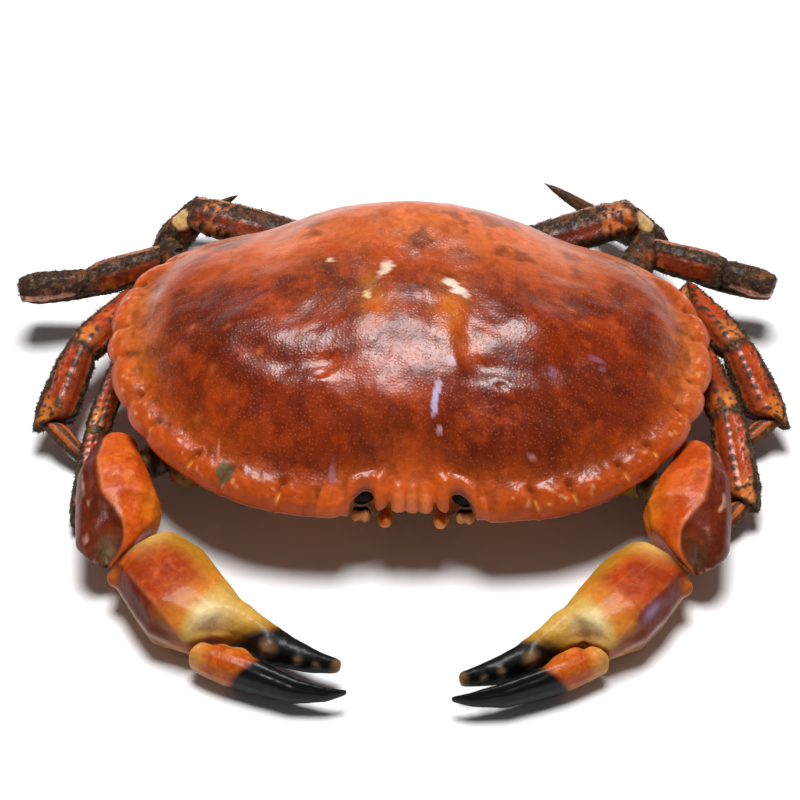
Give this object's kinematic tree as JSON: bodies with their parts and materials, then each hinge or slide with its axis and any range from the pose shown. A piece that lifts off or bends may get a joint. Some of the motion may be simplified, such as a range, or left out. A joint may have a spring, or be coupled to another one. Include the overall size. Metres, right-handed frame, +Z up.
{
  "type": "cooked crab",
  "caption": "Whole cooked edible crab with a wide domed shell, lobed rim, claws folded in front and walking legs tucked in.",
  "frame": {"origin": "centre of the bounding box's lower face, on the surface the crab rests on", "axes": "+X across the crab from side to side, -Y towards its face and claws, +Z up"},
  "size_m": [0.2338, 0.2032, 0.0641],
  "materials": {
    "shell": "satin cooked back shell, dark red-brown to orange",
    "claw_shell": "satin cooked claw shell, orange-red to maroon",
    "limb_shell": "satin cooked leg shell with dark hairy ridges",
    "under_shell": "pale cream under shell",
    "claw_tip": "black claw finger",
    "dark_shell": "dark bristly leg tips and eyes"
  },
  "bodies": {
    "root": {"carapace": "shell", "thorax": "under_shell", "abdomen": "under_shell", "antenna_L": "limb_shell", "antenna_R": "limb_shell", "claw_carpus_L": "claw_shell", "claw_carpus_R": "claw_shell", "claw_finger_L": "claw_tip", "claw_finger_R": "claw_tip", "claw_merus_L": "claw_shell", "claw_merus_R": "claw_shell", "claw_palm_L": "claw_shell", "claw_palm_R": "claw_shell", "eye_L": "dark_shell", "eye_R": "dark_shell", "leg2_carpus_L": "limb_shell", "leg2_carpus_R": "limb_shell", "leg2_coxa_L": "under_shell", "leg2_coxa_R": "under_shell", "leg2_dactyl_L": "dark_shell", "leg2_dactyl_R": "dark_shell", "leg2_merus_L": "limb_shell", "leg2_merus_R": "limb_shell", "leg2_propodus_L": "limb_shell", "leg2_propodus_R": "limb_shell", "leg3_carpus_L": "limb_shell", "leg3_carpus_R": "limb_shell", "leg3_coxa_L": "under_shell", "leg3_coxa_R": "under_shell", "leg3_dactyl_L": "dark_shell", "leg3_dactyl_R": "dark_shell", "leg3_merus_L": "limb_shell", "leg3_merus_R": "limb_shell", "leg3_propodus_L": "limb_shell", "leg3_propodus_R": "limb_shell", "leg4_carpus_L": "limb_shell", "leg4_carpus_R": "limb_shell", "leg4_coxa_L": "under_shell", "leg4_coxa_R": "under_shell", "leg4_dactyl_L": "dark_shell", "leg4_dactyl_R": "dark_shell", "leg4_merus_L": "limb_shell", "leg4_merus_R": "limb_shell", "leg4_propodus_L": "limb_shell", "leg4_propodus_R": "limb_shell", "leg5_carpus_L": "limb_shell", "leg5_carpus_R": "limb_shell", "leg5_coxa_L": "under_shell", "leg5_coxa_R": "under_shell", "leg5_dactyl_L": "dark_shell", "leg5_dactyl_R": "dark_shell", "leg5_merus_L": "limb_shell", "leg5_merus_R": "limb_shell", "leg5_propodus_L": "limb_shell", "leg5_propodus_R": "limb_shell", "maxilliped_L": "limb_shell", "maxilliped_R": "limb_shell"}
  },
  "joints": []
}
